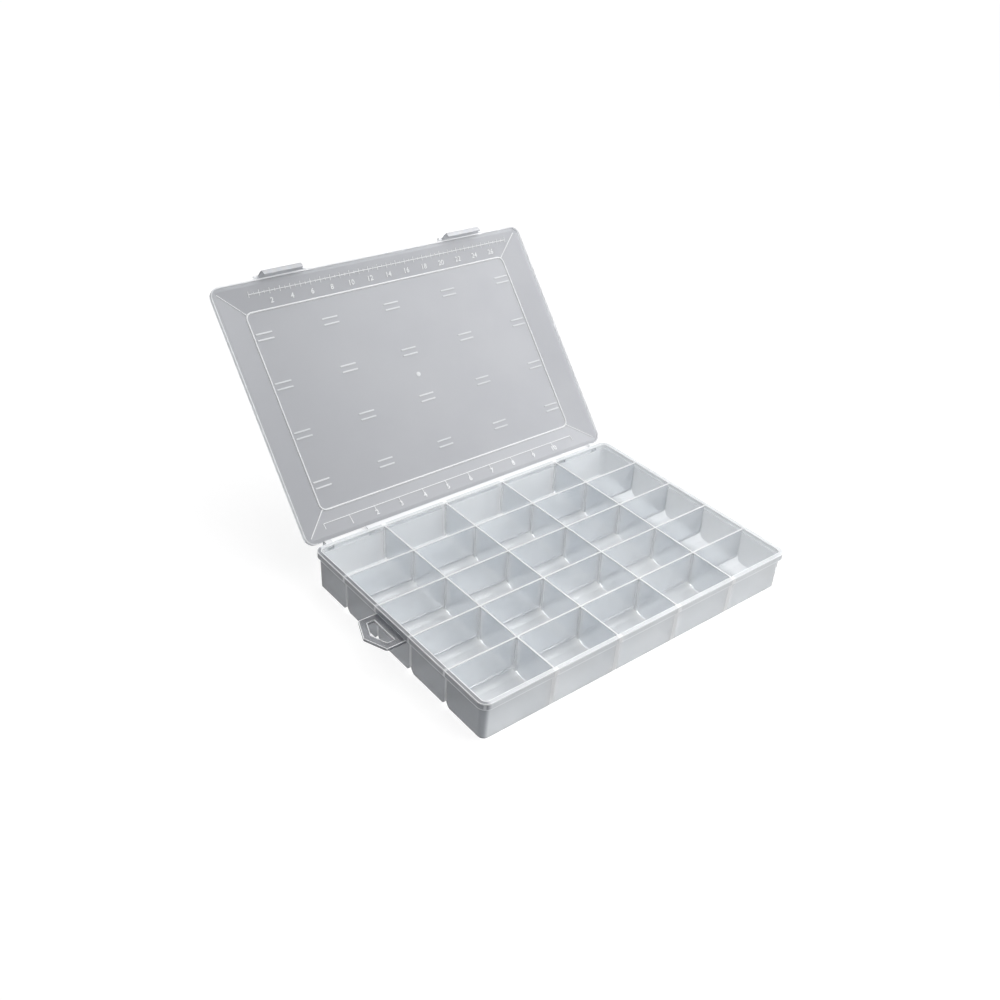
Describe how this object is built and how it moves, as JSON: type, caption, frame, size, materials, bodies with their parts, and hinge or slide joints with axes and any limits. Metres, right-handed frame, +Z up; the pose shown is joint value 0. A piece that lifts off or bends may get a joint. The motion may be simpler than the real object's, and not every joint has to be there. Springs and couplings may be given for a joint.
{
  "type": "compartment tackle box",
  "caption": "Flat clear plastic tackle box: moulded tray with troughs and lift-out dividers, hinged lid with rulers, snap latches and a hang loop at one end.",
  "frame": {"origin": "centre of the tray's underside, on the surface that the box stands on", "axes": "+X along the length to the right, +Y towards the hinge, +Z up; the lid is stored open"},
  "size_m": [0.3562, 0.3908, 0.2147],
  "materials": {
    "clear_tray": "frosted translucent polypropylene",
    "clear_lid": "frosted translucent polypropylene"
  },
  "bodies": {
    "base": {"base_tray": "clear_tray"},
    "lid": {"lid": "clear_lid"},
    "latch_left": {"latch_left": "clear_lid"},
    "latch_right": {"latch_right": "clear_lid"},
    "divider_r1c1": {"divider_r1c1": "clear_tray"},
    "divider_r1c2": {"divider_r1c2": "clear_tray"},
    "divider_r1c3": {"divider_r1c3": "clear_tray"},
    "divider_r1c4": {"divider_r1c4": "clear_tray"},
    "divider_r2c1": {"divider_r2c1": "clear_tray"},
    "divider_r2c2": {"divider_r2c2": "clear_tray"},
    "divider_r2c3": {"divider_r2c3": "clear_tray"},
    "divider_r2c4": {"divider_r2c4": "clear_tray"},
    "divider_r3c1": {"divider_r3c1": "clear_tray"},
    "divider_r3c2": {"divider_r3c2": "clear_tray"},
    "divider_r3c3": {"divider_r3c3": "clear_tray"},
    "divider_r3c4": {"divider_r3c4": "clear_tray"},
    "divider_r4c1": {"divider_r4c1": "clear_tray"},
    "divider_r4c2": {"divider_r4c2": "clear_tray"},
    "divider_r4c3": {"divider_r4c3": "clear_tray"},
    "divider_r4c4": {"divider_r4c4": "clear_tray"},
    "divider_r5c1": {"divider_r5c1": "clear_tray"},
    "divider_r5c2": {"divider_r5c2": "clear_tray"},
    "divider_r5c3": {"divider_r5c3": "clear_tray"},
    "divider_r5c4": {"divider_r5c4": "clear_tray"}
  },
  "joints": [
    {"name": "lid_hinge", "type": "hinge", "parent": "base", "child": "lid", "pos_m": [0, 0.1176, 0.0328], "axis": [-1, 0, 0], "range_deg": [-131, 0]},
    {"name": "latch_left_hinge", "type": "hinge", "parent": "lid", "child": "latch_left", "pos_m": [-0.0974, 0.27488, 0.20733], "axis": [-1, 0, 0], "range_deg": [-20, 70]},
    {"name": "latch_right_hinge", "type": "hinge", "parent": "lid", "child": "latch_right", "pos_m": [0.0974, 0.27488, 0.20733], "axis": [-1, 0, 0], "range_deg": [-20, 70]},
    {"name": "divider_r1c1_lift", "type": "slide", "parent": "base", "child": "divider_r1c1", "axis": [0, 0, 1], "range_m": [0, 0.036]},
    {"name": "divider_r1c2_lift", "type": "slide", "parent": "base", "child": "divider_r1c2", "axis": [0, 0, 1], "range_m": [0, 0.036]},
    {"name": "divider_r1c3_lift", "type": "slide", "parent": "base", "child": "divider_r1c3", "axis": [0, 0, 1], "range_m": [0, 0.036]},
    {"name": "divider_r1c4_lift", "type": "slide", "parent": "base", "child": "divider_r1c4", "axis": [0, 0, 1], "range_m": [0, 0.036]},
    {"name": "divider_r2c1_lift", "type": "slide", "parent": "base", "child": "divider_r2c1", "axis": [0, 0, 1], "range_m": [0, 0.036]},
    {"name": "divider_r2c2_lift", "type": "slide", "parent": "base", "child": "divider_r2c2", "axis": [0, 0, 1], "range_m": [0, 0.036]},
    {"name": "divider_r2c3_lift", "type": "slide", "parent": "base", "child": "divider_r2c3", "axis": [0, 0, 1], "range_m": [0, 0.036]},
    {"name": "divider_r2c4_lift", "type": "slide", "parent": "base", "child": "divider_r2c4", "axis": [0, 0, 1], "range_m": [0, 0.036]},
    {"name": "divider_r3c1_lift", "type": "slide", "parent": "base", "child": "divider_r3c1", "axis": [0, 0, 1], "range_m": [0, 0.036]},
    {"name": "divider_r3c2_lift", "type": "slide", "parent": "base", "child": "divider_r3c2", "axis": [0, 0, 1], "range_m": [0, 0.036]},
    {"name": "divider_r3c3_lift", "type": "slide", "parent": "base", "child": "divider_r3c3", "axis": [0, 0, 1], "range_m": [0, 0.036]},
    {"name": "divider_r3c4_lift", "type": "slide", "parent": "base", "child": "divider_r3c4", "axis": [0, 0, 1], "range_m": [0, 0.036]},
    {"name": "divider_r4c1_lift", "type": "slide", "parent": "base", "child": "divider_r4c1", "axis": [0, 0, 1], "range_m": [0, 0.036]},
    {"name": "divider_r4c2_lift", "type": "slide", "parent": "base", "child": "divider_r4c2", "axis": [0, 0, 1], "range_m": [0, 0.036]},
    {"name": "divider_r4c3_lift", "type": "slide", "parent": "base", "child": "divider_r4c3", "axis": [0, 0, 1], "range_m": [0, 0.036]},
    {"name": "divider_r4c4_lift", "type": "slide", "parent": "base", "child": "divider_r4c4", "axis": [0, 0, 1], "range_m": [0, 0.036]},
    {"name": "divider_r5c1_lift", "type": "slide", "parent": "base", "child": "divider_r5c1", "axis": [0, 0, 1], "range_m": [0, 0.036]},
    {"name": "divider_r5c2_lift", "type": "slide", "parent": "base", "child": "divider_r5c2", "axis": [0, 0, 1], "range_m": [0, 0.036]},
    {"name": "divider_r5c3_lift", "type": "slide", "parent": "base", "child": "divider_r5c3", "axis": [0, 0, 1], "range_m": [0, 0.036]},
    {"name": "divider_r5c4_lift", "type": "slide", "parent": "base", "child": "divider_r5c4", "axis": [0, 0, 1], "range_m": [0, 0.036]}
  ]
}
